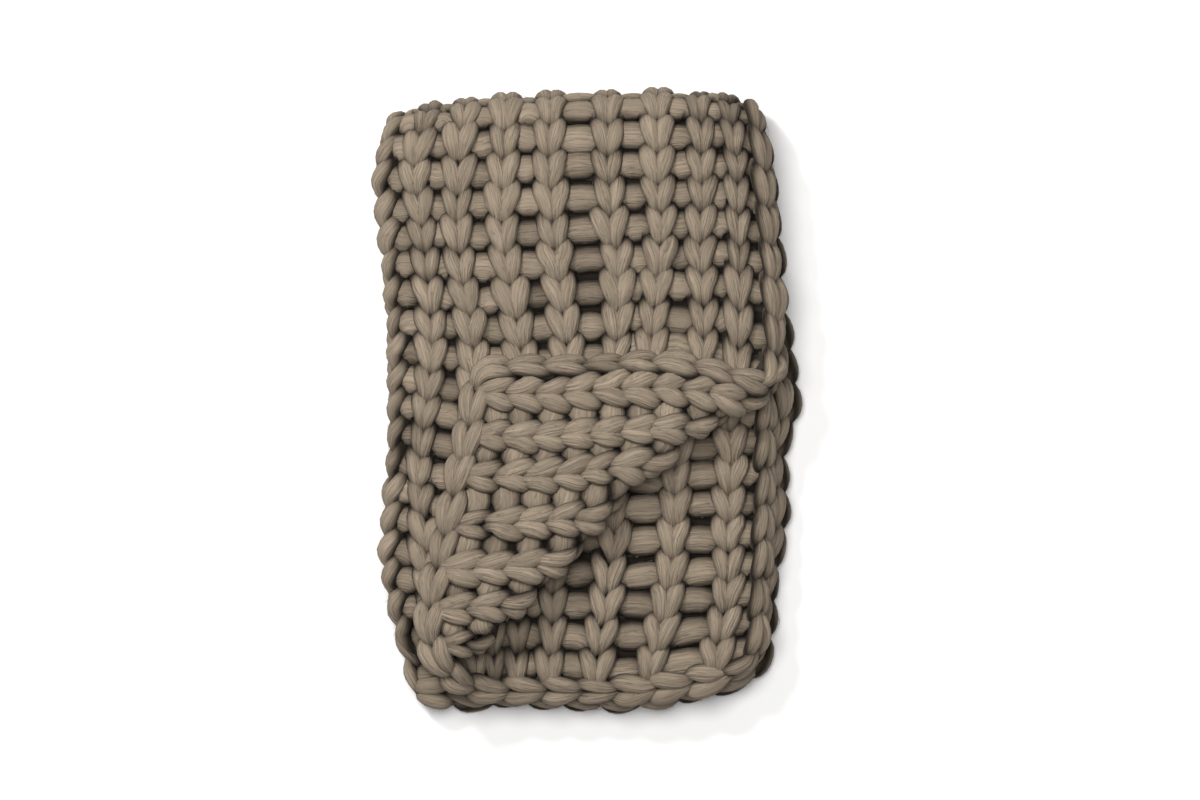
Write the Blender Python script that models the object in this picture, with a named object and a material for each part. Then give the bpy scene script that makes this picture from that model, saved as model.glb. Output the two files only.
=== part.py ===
"""A chunky rib-knitted wool blanket, folded in half twice, with one corner turned back.

The blanket is one closed solid. It is laid out as a ribbed sheet, doubled over at its left
side, doubled again at its top, and its top layer's lower right corner is bent over a
diagonal crease so that it lies on the stack. The face's ribs and grooves are raised in
the solid. Sizes are in millimetres, with +X to the right, +Y up the stack and +Z up.
"""

import math

import bmesh
import bpy
import numpy as np

MM = 0.001

# Cloth: knit ribs stand proud of its middle on the face, and purl ribs on the back.
# Widths of crests and grooves are shares of a rib.
RIB_COUNT = 19
ROW_COUNT = 40
RIB_HEIGHT = 14.0
GROOVE_HEIGHT = 6.0
CREST_HALF_WIDTH = 0.22
GROOVE_HALF_WIDTH = 0.10
RIB_PITCH = 52.0
ROW_PITCH = 38.0
RIM_OUT = 10.0
CORNER_RADIUS = 26.0

# Rows of points in the solid, for each stretch of the cloth.
UPPER_STEPS = 10
TOP_FOLD_STEPS = 8
LOWER_STEPS = 6

# Folding: the four layers lie a pitch apart around the two folds.
LAYER_PITCH = 30.0
SIDE_FOLD_RADIUS = LAYER_PITCH / 2
SIDE_FOLD_LEVEL = LAYER_PITCH
FOLD_RIB = 9
TOP_FOLD_Z = RIB_HEIGHT + 1.5 * LAYER_PITCH
TOP_LAYER_Z = TOP_FOLD_Z + 1.5 * LAYER_PITCH
UPPER_ROWS = 18
TOP_FOLD_ROWS = 4

# Turned-back corner: a diagonal crease on the top layer, at this distance from the middle.
DIAGONAL = math.sqrt(0.5)
CREASE_DISTANCE = 101.0
CREASE_RADIUS = LAYER_PITCH / 2
CREASE_CUTS = 8
CORNER_LAST_RIB = 8.55
SNAP = 0.05

# Where each rib's crest lies across the stack, at these places up it.
STATIONS = (-340, -220, -80, 68, 196, 300, 380)
RIBS = (
    # rib, then x at each station
    (0, 214, 216, 222, 228, 221, 212, 200),
    (1, 156, 156, 162, 186, 187, 184, 172),
    (2, 110, 110, 122, 143, 141, 143, 138),
    (3, 54, 54, 62, 79, 89, 87, 86),
    (4, -6, -2, 10, 35, 35, 25, 24),
    (5, -57, -50, -38, -24, -42, -47, -46),
    (6, -103, -98, -86, -84, -105, -103, -101),
    (7, -150, -146, -143, -144, -160, -159, -150),
    (8, -182, -197, -208, -192, -203, -213, -188),
    (FOLD_RIB, -192, -224, -221, -218, -227, -233, -205),
    (10, -168, -196, -196, -190, -198, -204, -180),
    (11, -147, -164, -164, -162, -165, -168, -150),
    (12, -126, -132, -134, -132, -132, -132, -120),
    (13, -104, -102, -100, -98, -98, -98, -90),
    (14, -72, -66, -62, -60, -60, -60, -58),
    (15, -22, -13, -8, -6, -6, -6, -6),
    (16, 46, 68, 72, 72, 72, 72, 68),
    (17, 112, 138, 142, 142, 140, 138, 130),
    (18, 202, 209, 214, 216, 212, 205, 192),
)

# Where the top fold begins and where the cloth ends, along each rib.
RIB_ENDS = (
    # rib, start of the top fold, end of the upper layers, end of the lower layers
    (-0.5, 312, -326, -346),
    (1.5, 328, -332, -368),
    (3, 329, -352, -378),
    (5, 325, -376, -376),
    (6.2, 321, -382, -376),
    (7.4, 316, -362, -376),
    (8.3, 310, -334, -377),
    (9, 306, -324, -378),
    (9.8, 308, -338, -376),
    (11, 314, -360, -372),
    (14, 322, -370, -372),
    (16.5, 326, -368, -374),
    (18.5, 312, -340, -342),
)

# How far the two lower layers lie to the side of the upper ones.
LOWER_SHIFTS = (
    # place up the stack, shift at the left, shift at the right
    (-370, -8, -4),
    (-325, -6, -1),
    (-270, -3, 2),
    (-200, 0, 7),
    (-140, 0, 15),
    (-60, 0, 9),
    (-10, 0, 22),
    (50, 0, 14),
    (120, 0, 7),
    (200, 0, 5),
    (280, -2, 8),
    (340, 0, 2),
)

# Pulls in the top layer and its turned-back corner: the drooping tip, and the bowed crease.
PULLS = (
    # x, y, reach, shift in x, shift in y
    (245, 40, 85, 0, -44),
    (55, -112, 70, -8, 8),
)

# The stack is pressed a little lower towards its outline.
EDGE_SETTLE = 0.10
EDGE_REACH = 90.0

CLOTH_COLOR = (0.335, 0.270, 0.205, 1.0)
CLOTH_ROUGHNESS = 0.95


def clear_scene():
    for item in list(bpy.data.objects):
        bpy.data.objects.remove(item, do_unlink=True)


def make_cloth_material():
    material = bpy.data.materials.new("taupe wool")
    material.use_nodes = True
    shader = material.node_tree.nodes["Principled BSDF"]
    shader.inputs["Base Color"].default_value = CLOTH_COLOR
    shader.inputs["Roughness"].default_value = CLOTH_ROUGHNESS
    shader.inputs["Metallic"].default_value = 0.0
    return material


def smooth_lookup(stations, values, at):
    """Values read at places between the stations, along smooth curves."""
    stations = np.asarray(stations, float)
    values = np.asarray(values, float)
    slopes = np.gradient(values, stations, axis=0)
    at = np.clip(at, stations[0], stations[-1])
    low = np.clip(np.searchsorted(stations, at) - 1, 0, len(stations) - 2)
    step = stations[low + 1] - stations[low]
    part = (at - stations[low]) / step
    if values.ndim > 1:
        step = step[:, None]
        part = part[:, None]
    start = (1 + 2 * part) * (1 - part) ** 2 * values[low]
    start_slope = part * (1 - part) ** 2 * step * slopes[low]
    end = part**2 * (3 - 2 * part) * values[low + 1]
    end_slope = part**2 * (part - 1) * step * slopes[low + 1]
    return start + start_slope + end + end_slope


def side_fold_ribs():
    """The ribs' places across, with the side fold's ends half a rib before and after it."""
    places = []
    rows = []
    for rib, *across in RIBS:
        for place in (rib - 0.5, rib + 0.5) if rib == FOLD_RIB else (rib,):
            places.append(place)
            rows.append(across)
    return np.array(places, float), np.array(rows, float).T


def across_at(rib, y):
    """The place across the stack of a point of the cloth, from its rib and its place up it."""
    places, by_station = side_fold_ribs()
    crests = smooth_lookup(STATIONS, by_station, y)
    low = np.clip(np.searchsorted(places, rib) - 1, 0, len(places) - 2)
    part = (rib - places[low]) / (places[low + 1] - places[low])
    each = np.arange(len(rib))
    return crests[each, low] * (1 - part) + crests[each, low + 1] * part


def lower_shift(x, y):
    """The sideways shift of the lower layers at a point."""
    heights, left, right = np.array(LOWER_SHIFTS, float).T
    left_side = across_at(np.full(len(x), FOLD_RIB - 0.5), y)
    right_side = across_at(np.zeros(len(x)), y)
    share = np.clip((x - left_side) / (right_side - left_side), 0, 1)
    shift_left = smooth_lookup(heights, left, y)
    shift_right = smooth_lookup(heights, right, y)
    return shift_left * (1 - share) + shift_right * share


def fold_twice(rib, row, height):
    """Lays points of the flat cloth into the four layers of the folded blanket."""
    places, fold_starts, upper_ends, lower_ends = np.array(RIB_ENDS, float).T
    fold_start = smooth_lookup(places, fold_starts, rib)
    upper_end = smooth_lookup(places, upper_ends, rib)
    lower_end = smooth_lookup(places, lower_ends, rib)

    turn = np.clip(rib - (FOLD_RIB - 0.5), 0, 1) * math.pi
    level = SIDE_FOLD_LEVEL + SIDE_FOLD_RADIUS * np.cos(turn)
    level_out = level + height * np.cos(turn)

    upper = np.clip(row / UPPER_ROWS, None, 1)
    lower = np.clip((row - UPPER_ROWS - TOP_FOLD_ROWS) / UPPER_ROWS, 0, None)
    bend = np.clip((row - UPPER_ROWS) / TOP_FOLD_ROWS, 0, 1) * math.pi
    middle_y = fold_start + level * np.sin(bend)
    straight_y = upper_end + (fold_start - upper_end) * upper
    straight_y += (lower_end - fold_start) * lower

    y_middle = straight_y + (middle_y - fold_start)
    y = straight_y + level_out * np.sin(bend)
    z = TOP_FOLD_Z + level_out * np.cos(bend)

    x = across_at(rib, y_middle)
    x += lower_shift(x, y_middle) * (0.5 - 0.5 * np.cos(bend))
    x -= (SIDE_FOLD_RADIUS + height) * np.sin(turn)
    return x, y, z


def turn_corner(rib, x, y, z):
    """Bends the top layer's lower right corner over the crease, onto the stack."""
    past = (x - y) * DIAGONAL - CREASE_DISTANCE
    height = z - TOP_LAYER_Z
    on_top = (np.abs(height) < LAYER_PITCH / 2) & (rib < CORNER_LAST_RIB)
    moved = on_top & (past > 0)
    angle = np.clip(past / CREASE_RADIUS, 0, math.pi)
    beyond = np.clip(past - math.pi * CREASE_RADIUS, 0, None)
    reach = CREASE_RADIUS - height
    new_past = reach * np.sin(angle) - beyond
    new_z = TOP_LAYER_Z + CREASE_RADIUS - reach * np.cos(angle)
    slide = np.where(moved, new_past - past, 0) * DIAGONAL
    return x + slide, y - slide, np.where(moved, new_z, z), on_top


def pull_about(x, y, on_top):
    """Shifts the top layer and its corner as the real one has been pulled."""
    shift_x = np.zeros(len(x))
    shift_y = np.zeros(len(x))
    for centre_x, centre_y, reach, pull_x, pull_y in PULLS:
        distance = np.hypot(x - centre_x, y - centre_y) / reach
        weight = np.where(on_top, np.exp(-(distance**2)), 0)
        shift_x += pull_x * weight
        shift_y += pull_y * weight
    return x + shift_x, y + shift_y


def settle(rib, row, z):
    """Presses the stack a little lower towards its edges and folds."""
    from_edge = np.minimum(rib, 2 * FOLD_RIB - rib) + 0.5
    from_side = np.minimum(np.abs(rib - FOLD_RIB), from_edge)
    from_end = np.minimum(row, ROW_COUNT - row)
    nearest = np.minimum(from_side * RIB_PITCH, from_end * ROW_PITCH)
    part = np.clip(1 - nearest / EDGE_REACH, 0, 1)
    return z * (1 - EDGE_SETTLE * part**2)


def rib_lines():
    """Each line of points along the cloth: its place on the face and on the back."""
    face = []
    back = []
    for rib in range(RIB_COUNT):
        face += [(rib - CREST_HALF_WIDTH, RIB_HEIGHT), (rib + CREST_HALF_WIDTH, RIB_HEIGHT)]
        back += [(rib - GROOVE_HALF_WIDTH, -GROOVE_HEIGHT)]
        back += [(rib + GROOVE_HALF_WIDTH, -GROOVE_HEIGHT)]
        if rib < RIB_COUNT - 1:
            groove = rib + 0.5
            face += [(groove - GROOVE_HALF_WIDTH, GROOVE_HEIGHT)]
            face += [(groove + GROOVE_HALF_WIDTH, GROOVE_HEIGHT)]
            back += [(groove - CREST_HALF_WIDTH, -RIB_HEIGHT)]
            back += [(groove + CREST_HALF_WIDTH, -RIB_HEIGHT)]
    return face, back


def row_lines():
    """The knitted rows at which the solid has points, along both layers and round the fold."""
    fold_end = UPPER_ROWS + TOP_FOLD_ROWS
    upper = list(np.linspace(0, UPPER_ROWS, UPPER_STEPS + 1))
    fold = list(np.linspace(UPPER_ROWS, fold_end, TOP_FOLD_STEPS + 1))[1:]
    lower = list(np.linspace(fold_end, ROW_COUNT, LOWER_STEPS + 1))[1:]
    return upper + fold + lower


def build_flat_cloth(mesh):
    """The flat cloth as one closed sheet, its points holding rib, row and height."""
    face_lines, back_lines = rib_lines()
    rows = row_lines()
    rim_rib = RIM_OUT / RIB_PITCH
    rim_row = RIM_OUT / ROW_PITCH
    face = [[mesh.verts.new((rib, row, h)) for rib, h in face_lines] for row in rows]
    back = [[mesh.verts.new((rib, row, h)) for rib, h in back_lines] for row in rows]
    last_row = len(rows) - 1
    last_line = len(face_lines) - 1
    for j in range(last_row):
        for k in range(last_line):
            mesh.faces.new((face[j][k], face[j][k + 1], face[j + 1][k + 1], face[j + 1][k]))
            mesh.faces.new((back[j][k], back[j + 1][k], back[j + 1][k + 1], back[j][k + 1]))
    border = [(0, k) for k in range(last_line)] + [(j, last_line) for j in range(last_row)]
    border += [(last_row, k) for k in range(last_line, 0, -1)]
    border += [(j, 0) for j in range(last_row, 0, -1)]
    rim = []
    for j, k in border:
        out_row = -rim_row if j == 0 else rim_row if j == last_row else 0
        out_rib = -rim_rib if k == 0 else rim_rib if k == last_line else 0
        middle = (face[j][k].co + back[j][k].co) / 2
        rim.append(mesh.verts.new((middle.x + out_rib, middle.y + out_row, middle.z)))
    for i, (j, k) in enumerate(border):
        next_j, next_k = border[(i + 1) % len(border)]
        next_rim = rim[(i + 1) % len(border)]
        mesh.faces.new((face[next_j][next_k], face[j][k], rim[i], next_rim))
        mesh.faces.new((rim[i], back[j][k], back[next_j][next_k], next_rim))


def round_corners(rib, row):
    """Points of the flat cloth, with those near its four corners drawn in to a round edge."""
    middle_rib = (RIB_COUNT - 1) / 2
    middle_row = ROW_COUNT / 2
    x = (rib - middle_rib) * RIB_PITCH
    y = (row - middle_row) * ROW_PITCH
    inner_x = (middle_rib + CREST_HALF_WIDTH) * RIB_PITCH + RIM_OUT - CORNER_RADIUS
    inner_y = middle_row * ROW_PITCH + RIM_OUT - CORNER_RADIUS
    beyond_x = np.abs(x) - inner_x
    beyond_y = np.abs(y) - inner_y
    in_corner = (beyond_x > 0) & (beyond_y > 0)
    part = np.maximum(beyond_x, beyond_y) / np.maximum(np.hypot(beyond_x, beyond_y), SNAP)
    x = np.where(in_corner, np.sign(x) * (inner_x + beyond_x * part), x)
    y = np.where(in_corner, np.sign(y) * (inner_y + beyond_y * part), y)
    return x / RIB_PITCH + middle_rib, y / ROW_PITCH + middle_row


def cut_for_crease(mesh, keep_rib):
    """Adds lines of points along the crease, in the top layer alone, for its bend."""
    for cut in range(CREASE_CUTS + 1):
        distance = CREASE_DISTANCE + math.pi * CREASE_RADIUS * cut / CREASE_CUTS
        point = (distance * DIAGONAL, -distance * DIAGONAL, 0)
        corner = []
        for polygon in mesh.faces:
            near = all(abs(v.co.z - TOP_LAYER_Z) < LAYER_PITCH / 2 for v in polygon.verts)
            if near and all(v[keep_rib] < CORNER_LAST_RIB for v in polygon.verts):
                corner.append(polygon)
        edges = {edge for polygon in corner for edge in polygon.edges}
        verts = {vert for polygon in corner for vert in polygon.verts}
        bmesh.ops.bisect_plane(
            mesh,
            geom=list(verts) + list(edges) + corner,
            plane_co=point,
            plane_no=(DIAGONAL, -DIAGONAL, 0),
            dist=SNAP,
        )


def build_blanket(material):
    mesh = bmesh.new()
    keep_rib = mesh.verts.layers.float.new("rib")
    keep_row = mesh.verts.layers.float.new("row")
    build_flat_cloth(mesh)
    flat = np.array([v.co[:] for v in mesh.verts])
    rounded = round_corners(flat[:, 0], flat[:, 1])
    x, y, z = fold_twice(*rounded, flat[:, 2])
    for vert, place, at in zip(mesh.verts, flat, np.column_stack((x, y, z))):
        vert[keep_rib] = place[0]
        vert[keep_row] = place[1]
        vert.co = at
    bmesh.ops.triangulate(mesh, faces=mesh.faces[:])
    cut_for_crease(mesh, keep_rib)
    bmesh.ops.triangulate(mesh, faces=mesh.faces[:])

    points = np.array([v.co[:] for v in mesh.verts])
    ribs = np.array([v[keep_rib] for v in mesh.verts])
    rows = np.array([v[keep_row] for v in mesh.verts])
    x, y, z, on_top = turn_corner(ribs, points[:, 0], points[:, 1], points[:, 2])
    x, y = pull_about(x, y, on_top & (rows < UPPER_ROWS))
    z = settle(ribs, rows, z)
    x -= (x.min() + x.max()) / 2
    y -= (y.min() + y.max()) / 2
    z -= z.min()
    for vert, at in zip(mesh.verts, np.column_stack((x, y, z)) * MM):
        vert.co = at
    bmesh.ops.recalc_face_normals(mesh, faces=mesh.faces[:])

    data = bpy.data.meshes.new("blanket")
    mesh.to_mesh(data)
    mesh.free()
    data.materials.append(material)
    blanket = bpy.data.objects.new("blanket", data)
    bpy.context.scene.collection.objects.link(blanket)
    return blanket


def main():
    clear_scene()
    build_blanket(make_cloth_material())


main()
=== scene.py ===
"""The looks of the folded, rib-knitted blanket: its thick wool yarn, stitch by stitch.

Each stitch is a length of yarn. It is placed on the flat cloth by its rib, its row and its
height off the middle of the cloth, and the folding functions then lay it in the stack,
by the same named sizes as the solid. Lengths are in millimetres until a mesh is made.
"""

import math

import bpy
import numpy as np
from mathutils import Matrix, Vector


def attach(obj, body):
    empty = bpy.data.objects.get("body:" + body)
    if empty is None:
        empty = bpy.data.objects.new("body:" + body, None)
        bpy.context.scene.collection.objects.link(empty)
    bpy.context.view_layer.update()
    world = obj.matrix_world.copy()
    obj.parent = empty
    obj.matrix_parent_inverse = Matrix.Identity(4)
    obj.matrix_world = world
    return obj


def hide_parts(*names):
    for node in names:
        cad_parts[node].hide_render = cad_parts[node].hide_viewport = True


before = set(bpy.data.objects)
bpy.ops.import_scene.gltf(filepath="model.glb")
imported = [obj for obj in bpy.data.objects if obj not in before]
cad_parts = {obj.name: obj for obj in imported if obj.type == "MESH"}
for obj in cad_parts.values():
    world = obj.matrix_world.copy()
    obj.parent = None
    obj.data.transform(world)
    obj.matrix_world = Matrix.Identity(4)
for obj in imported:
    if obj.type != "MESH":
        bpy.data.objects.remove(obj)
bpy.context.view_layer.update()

MM = 0.001

# The photograph: its scale, and where the blanket's middle lies in it.
PHOTO_WIDTH = 1200
PHOTO_MIDDLE = (600.0, 400.0)
BLANKET_MIDDLE = (591.0, 401.0)
MM_PER_PIXEL = 1.24

# The solid's middle, from the place that the tables below measure from.
STACK_MIDDLE = (4.8, -0.35)

# Cloth and folds, as in the solid. Ribs are counted from the top layer's right edge, and
# rows from its lower end.
RIB_PITCH = 52.0
ROW_PITCH = 38.0
ROW_COUNT = 40
LAYER_PITCH = 30.0
SIDE_FOLD_RADIUS = LAYER_PITCH / 2
SIDE_FOLD_LEVEL = LAYER_PITCH
FOLD_RIB = 9
LAST_RIB = 18
TOP_FOLD_Z = 14.0 + 1.5 * LAYER_PITCH
TOP_LAYER_Z = TOP_FOLD_Z + 1.5 * LAYER_PITCH
TOP_LAYER_REACH = 0.8 * LAYER_PITCH
UPPER_ROWS = 18
TOP_FOLD_ROWS = 4
DIAGONAL = math.sqrt(0.5)
CREASE_DISTANCE = 101.0
CREASE_RADIUS = LAYER_PITCH / 2
MID_CREASE = CREASE_RADIUS * math.pi / 2
CORNER_LAST_RIB = 8.55
EDGE_SETTLE = 0.10
EDGE_REACH = 90.0

# Where each rib's crest lies across the stack, at these places up it.
STATIONS = (-340, -220, -80, 68, 196, 300, 380)
RIBS = (
    # rib, then x at each station
    (0, 214, 216, 222, 228, 221, 212, 200),
    (1, 156, 156, 162, 186, 187, 184, 172),
    (2, 110, 110, 122, 143, 141, 143, 138),
    (3, 54, 54, 62, 79, 89, 87, 86),
    (4, -6, -2, 10, 35, 35, 25, 24),
    (5, -57, -50, -38, -24, -42, -47, -46),
    (6, -103, -98, -86, -84, -105, -103, -101),
    (7, -150, -146, -143, -144, -160, -159, -150),
    (8, -182, -197, -208, -192, -203, -213, -188),
    (FOLD_RIB, -192, -224, -221, -218, -227, -233, -205),
    (10, -168, -196, -196, -190, -198, -204, -180),
    (11, -147, -164, -164, -162, -165, -168, -150),
    (12, -126, -132, -134, -132, -132, -132, -120),
    (13, -104, -102, -100, -98, -98, -98, -90),
    (14, -72, -66, -62, -60, -60, -60, -58),
    (15, -22, -13, -8, -6, -6, -6, -6),
    (16, 46, 68, 72, 72, 72, 72, 68),
    (17, 112, 138, 142, 142, 140, 138, 130),
    (18, 202, 209, 214, 216, 212, 205, 192),
)

# Where the top fold begins and where the cloth ends, along each rib.
RIB_ENDS = (
    # rib, start of the top fold, end of the upper layers, end of the lower layers
    (-0.5, 312, -326, -346),
    (1.5, 328, -332, -368),
    (3, 329, -352, -378),
    (5, 325, -376, -376),
    (6.2, 321, -382, -376),
    (7.4, 316, -362, -376),
    (8.3, 310, -334, -377),
    (9, 306, -324, -378),
    (9.8, 308, -338, -376),
    (11, 314, -360, -372),
    (14, 322, -370, -372),
    (16.5, 326, -368, -374),
    (18.5, 312, -340, -342),
)

# How far the two lower layers lie to the side of the upper ones.
LOWER_SHIFTS = (
    # place up the stack, shift at the left, shift at the right
    (-370, -8, -4),
    (-325, -6, -1),
    (-270, -3, 2),
    (-200, 0, 7),
    (-140, 0, 15),
    (-60, 0, 9),
    (-10, 0, 22),
    (50, 0, 14),
    (120, 0, 7),
    (200, 0, 5),
    (280, -2, 8),
    (340, 0, 2),
)

# Pulls in the top layer and its turned-back corner: the drooping tip, and the bowed crease.
PULLS = (
    # x, y, reach, shift in x, shift in y
    (245, 40, 85, 0, -44),
    (55, -112, 70, -8, 8),
)

# One half of a knit stitch, from its hidden foot up its leg to the top of its loop.
LEG = (
    # off the rib's middle, stitches up, height off the cloth's middle, yarn radius
    (11.0, -0.32, -11.0, 4.5),
    (4.4, -0.14, 0.0, 5.8),
    (4.0, 0.12, 5.6, 8.2),
    (6.4, 0.44, 7.4, 10.6),
    (9.8, 0.74, 5.0, 10.6),
    (12.4, 1.01, -1.5, 8.8),
    (11.0, 1.23, -7.0, 6.2),
    (0.0, 1.34, -10.5, 5.0),
)

# The gap from rib to rib: what the side fold adds to it, and the least it can be. Stitches
# are smaller where the ribs crowd together, and larger where there is room.
FOLD_GAP = 26.0
LEAST_GAP = 20.0
STITCH_ROOM = 44.0
STITCH_SIZES = (0.80, 1.08)

# One half of the bump between two ribs, from its hidden end to its middle.
BAR = (
    # off the nearer rib's middle, stitches up, height off the cloth's middle, yarn radius
    (12.0, -0.02, -12.0, 7.0),
    (13.5, 0.20, -8.5, 12.6),
    (17.5, 0.41, -4.8, 16.8),
)
# At its middle: stitches up, height off the cloth's middle, yarn radius.
BAR_MIDDLE = (0.46, -3.6, 18.2)
BAR_FLATNESS = 0.62

# Bumps are thinner, straighter and shorter where the gap between the ribs is narrow.
NARROWEST_BAR = 0.72
NARROW_GAP = 30.0
WIDE_GAP = 80.0
LEAST_ARCH = 0.12
LEAST_SPREAD = 0.55
BAR_TILT = 0.09
FIRST_BAR_RIB = 0.25
FIRST_BAR_REACH = 0.22

# Bumps, and yarn seen from both faces, count as this much prouder for the painted shade, so that
# they are darkened less.
BAR_SHADE_LIFT = 6.0
BACK_SHADE_LIFT = 3.2

# Over the top fold the cloth is stretched, so its legs and bumps lie more level there.
FOLD_RISE_REACH = 1.9
LEG_FOLD_RISE = -1.2
BAR_FOLD_RISE = 3.2

# One half of the strand that joins two stitches, deep in the gap above the bump.
JOIN = (
    # off the nearer rib's middle, stitches up, height off the cloth's middle, yarn radius
    (11.0, 1.10, -10.0, 5.5),
    (14.0, 1.00, -11.5, 7.0),
    (17.0, 0.93, -12.5, 8.0),
)
JOIN_MIDDLE = (0.90, -13.0, 8.5)
JOIN_SHARE = 0.95
JOIN_FLATNESS = 0.8

# One half of a link of the chain along the cloth's edges.
LINK = (
    # off the chain's middle, links along, height off the cloth's middle, yarn radius
    (9.0, -0.08, -9.0, 5.0),
    (5.0, 0.04, -5.0, 5.6),
    (3.4, 0.20, 0.5, 6.6),
    (5.4, 0.48, 4.8, 9.2),
    (8.6, 0.82, 5.0, 10.2),
    (10.0, 1.08, 1.5, 8.8),
    (7.0, 1.28, -4.0, 6.2),
    (0.0, 1.36, -8.0, 5.0),
)
LINK_LENGTH = 46.0
SIDE_LINK_SIZE = 0.92
END_LINK_SIZE = 1.12
END_ROLL = 0.35
SIDE_ROLL = 0.85

# The line along the cloth's edges that the chain follows.
EDGE_RIB = -0.07
EDGE_ROW = 0.28
EDGE_CORNER = 28.0
CORNER_POINTS = 13
EDGE_STEP = 4.0
SIDE_REACH = 0.3
SECOND_LAYER_RIB = FOLD_RIB + 0.4
LINE_SMOOTHING = 4
FLAP_SMOOTHING = 6
HEIGHT_PROBE = 3.0
OUT_PROBE = 4.0

# Where the chain takes a short way between these ribs, beside the turned-back corner.
SHORT_CUT = (5.6, 12.8)
CORNER_BOW = 1.15
CORNER_RISE = 0.6

# The chain is tucked in at the side fold, and its links are larger on the turned-back corner.
FOLD_TUCK = (9.0, 7.0, 0.0)
FOLD_TUCK_REACH = 0.7
FLAP_LINK_SIZE = 1.04
FLAP_LINK_SHIFT = 4.5
FLAP_LINK_REACH = 40.0

# Random differences from stitch to stitch: across, along, in height and in yarn radius.
LEG_JITTER = (0.022, 0.035, 0.9, 0.55)
BETWEEN_JITTER = (0.015, 0.045, 0.9, 0.8)
LINK_JITTER = (0.8, 1.2, 0.8, 0.4)
KEY_JITTER_SHARE = 0.5
LEG_SIZE_SPREAD = 0.05
LINK_SIZE_SPREAD = 0.06

# Yarn: its least radius, what is left of it at its ends, where its fibres' pattern starts,
# and the lowest that any of it lies.
LEAST_RADIUS = 2.0
END_SHARE = 0.05
NEXT_TO_END_SHARE = 0.8
PATTERN_START = 9000
LOWEST = 0.2

# Yarn tubes: steps from key point to key point, and sides.
FINE_TUBE = ((2, 12))
CLOSE_TUBE = ((2, 10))
BOTTOM_TUBE = (2, 8)
THIRD_TUBE = (2, 6)
JOIN_TUBE = (2, 6)

# Which rows have stitches, and where the upper layers' stitches give way to the lower ones'.
FIRST_STITCH_ROW = 0.55
LAST_STITCH_ROW = ROW_COUNT - 1.4
OUTER_TURN_ROW = UPPER_ROWS + 2.5
INNER_TURN_ROW = UPPER_ROWS + 2
LAST_CORNER_ROW = UPPER_ROWS - 2

# Where a stitch's room is measured, and how much of it there has to be: at the edges, at the
# crease and beside the chain's short cut.
LEG_MIDDLE_ROW = 0.7
BETWEEN_MIDDLE = 0.5
BETWEEN_ROOM = 5.0
BETWEEN_INSET = 0.3
BETWEEN_CUT_RIB = 1.2
LAST_BEFORE_CREASE = 10.0
SELVAGE_RIB = 0.8
SELVAGE_REACH = 14.0
END_RIB = 6.8
END_ROOM = 7.0
CUT_ROOM = (2.0, 1.5)
ALWAYS = 100.0

# Stray fibres.
FUZZ_COUNTS = {"knit_top": 1500, "knit_corner": 700, "knit_second": 600, "edge_chain": 700}
FUZZ_LEVEL = 6.0
FUZZ_LENGTHS = (5.0, 13.0)
FUZZ_RISES = (0.8, 2.6)
FUZZ_RADIUS = 0.16
# The height that sets the stray fibres' painted shade.
FUZZ_SHADE_HEIGHT = 13.0
FUZZ_POINTS = 6
FUZZ_SIDES = 3
FUZZ_HEADING = 0.5
FUZZ_BEND = 0.25
FUZZ_ARCH = 0.7
FUZZ_ROOT = 0.4

# The cloth's inner sheet. It lies deep under the face that shows, so it changes sides past
# the side fold and at the crease.
CORE_DEPTH = 13.0
CORE_THICKNESS = 3.0
CORE_POINTS = {"ribs": 4 * LAST_RIB + 1, "upper": 41, "fold": 17, "lower": 31}
CORE_TURN_RIB = 9.4
CORE_TURN_RIBS = 0.8
CORE_TURN_ROWS = 3
CORE_TURN_REACH = 14
CORE_UV_SIZE = 500.0

# The wool's colours, the colours of its painted shade, and the heights between which that painted
# shade fades out: yarn lower than the first is fully darkened, yarn prouder than the second not
# at all.
WOOL_DARK = (0.140, 0.112, 0.082, 1)
WOOL_LIGHT = (0.370, 0.299, 0.223, 1)
WOOL_LINE_SHADE = (0.52, 0.49, 0.46, 1)
PAINTED_DEEP_SHADE = (0.055, 0.047, 0.040, 1)
# The inner sheet's colours: near-black, painted shade for the gaps between stitches.
INSIDE_SHADE_DARK = (0.010, 0.007, 0.005, 1)
INSIDE_SHADE_LIGHT = (0.030, 0.023, 0.016, 1)
FULL_SHADE_HEIGHT = 3.2
NO_SHADE_HEIGHT = 16.2

# The wool's pattern: the shares of fibres, bundles and patches in its tone, and its lines of
# painted shade between bundles, over shallow grooves.
TONE_RANGE = (0.30, 0.70)
FIBRE_SHARE = 0.5
BUNDLE_SHARE = 0.25
PATCH_SHARE = 0.25
LINE_WIDTH = 0.030
LINE_SHADE_STRENGTH = 0.22
LINE_GROOVE = 0.08
BUMP_STRENGTH = 0.9
FIBRE_BUMP = 0.0020
BUNDLE_BUMP = 0.0045

# The studio, in metres and watts.
FLOOR_REACH = 6.0
FLOOR_COLOUR = (0.93, 0.93, 0.93, 1)
WORLD_STRENGTH = 0.14
LIGHTS_AIM = (0, 0, 0.1)
LIGHTS = (
    # name, place, size, power, colour
    ("key", (-1.5, 1.75, 2.8), 0.7, 85, (1.0, 0.985, 0.965)),
    ("overhead", (-0.15, 0.3, 3.3), 1.8, 108, (1.0, 0.995, 0.985)),
)
LENS = 200
SENSOR_WIDTH = 36


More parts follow.
